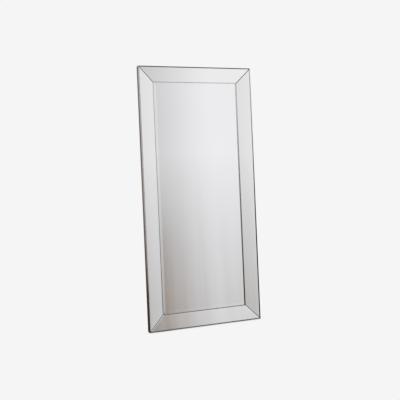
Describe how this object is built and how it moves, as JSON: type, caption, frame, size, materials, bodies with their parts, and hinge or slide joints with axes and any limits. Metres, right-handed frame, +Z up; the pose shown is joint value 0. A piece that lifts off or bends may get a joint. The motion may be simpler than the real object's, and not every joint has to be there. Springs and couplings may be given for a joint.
{
  "type": "full-length mirror",
  "caption": "Full-length leaning mirror with a sloping, mitred mirrored-glass border, a recessed bevelled centre plate, and hinged D-rings on the back for hanging.",
  "frame": {"origin": "on the floor under the middle of the frame's width and depth, at the underside of the floor pads", "axes": "+Z up along the frame's height, +X to the right of someone facing the glass, +Y from the glass towards the wall"},
  "size_m": [0.76, 0.0456, 1.6525],
  "materials": {
    "frame_wood": "dark brown stain, satin, on wood",
    "silver_bead": "satin grey silver",
    "strip_mirror": "silvered glass, ground and polished edges",
    "plate_mirror": "silvered glass, wide polished bevel",
    "foam_tape": "white closed-cell foam tape",
    "packing": "white foam sheet",
    "hardboard": "brown hardboard, matte",
    "rubber_pads": "black rubber",
    "zinc_steel": "bright zinc plate",
    "ring_steel": "nickel plate",
    "screw_steel": "zinc plate"
  },
  "bodies": {
    "mirror": {"backing_board": "hardboard", "backing_screws": "screw_steel", "brace_screws": "screw_steel", "corner_braces": "zinc_steel", "floor_pads": "rubber_pads", "frame_bottom": "frame_wood", "frame_left": "frame_wood", "frame_right": "frame_wood", "frame_top": "frame_wood", "hanger_screws": "screw_steel", "hanger_strap_lengthways_bottom": "zinc_steel", "hanger_strap_lengthways_top": "zinc_steel", "hanger_strap_upright_left": "zinc_steel", "hanger_strap_upright_right": "zinc_steel", "inner_bead_bottom": "silver_bead", "inner_bead_left": "silver_bead", "inner_bead_right": "silver_bead", "inner_bead_top": "silver_bead", "mirror_plate": "plate_mirror", "mirror_strip_bottom": "strip_mirror", "mirror_strip_left": "strip_mirror", "mirror_strip_right": "strip_mirror", "mirror_strip_top": "strip_mirror", "outer_bead_bottom": "silver_bead", "outer_bead_left": "silver_bead", "outer_bead_right": "silver_bead", "outer_bead_top": "silver_bead", "packing_sheet": "packing", "setting_blocks": "rubber_pads", "strip_tape_bottom": "foam_tape", "strip_tape_left": "foam_tape", "strip_tape_right": "foam_tape", "strip_tape_top": "foam_tape", "wall_bumpers": "rubber_pads"},
    "ring_upright_left": {"d_ring_upright_left": "ring_steel"},
    "ring_upright_right": {"d_ring_upright_right": "ring_steel"},
    "ring_lengthways_top": {"d_ring_lengthways_top": "ring_steel"},
    "ring_lengthways_bottom": {"d_ring_lengthways_bottom": "ring_steel"}
  },
  "joints": [
    {"name": "d_ring_upright_left_swing", "type": "hinge", "parent": "mirror", "child": "ring_upright_left", "pos_m": [-0.3425, 0.0228, 1.3525], "axis": [1, 0, 0], "range_deg": [0, 176]},
    {"name": "d_ring_upright_right_swing", "type": "hinge", "parent": "mirror", "child": "ring_upright_right", "pos_m": [0.3425, 0.0228, 1.3525], "axis": [1, 0, 0], "range_deg": [0, 176]},
    {"name": "d_ring_lengthways_top_swing", "type": "hinge", "parent": "mirror", "child": "ring_lengthways_top", "pos_m": [-0.215, 0.0228, 1.615], "axis": [0, 0, 1], "range_deg": [0, 176]},
    {"name": "d_ring_lengthways_bottom_swing", "type": "hinge", "parent": "mirror", "child": "ring_lengthways_bottom", "pos_m": [-0.215, 0.0228, 0.04], "axis": [0, 0, 1], "range_deg": [0, 176]}
  ]
}
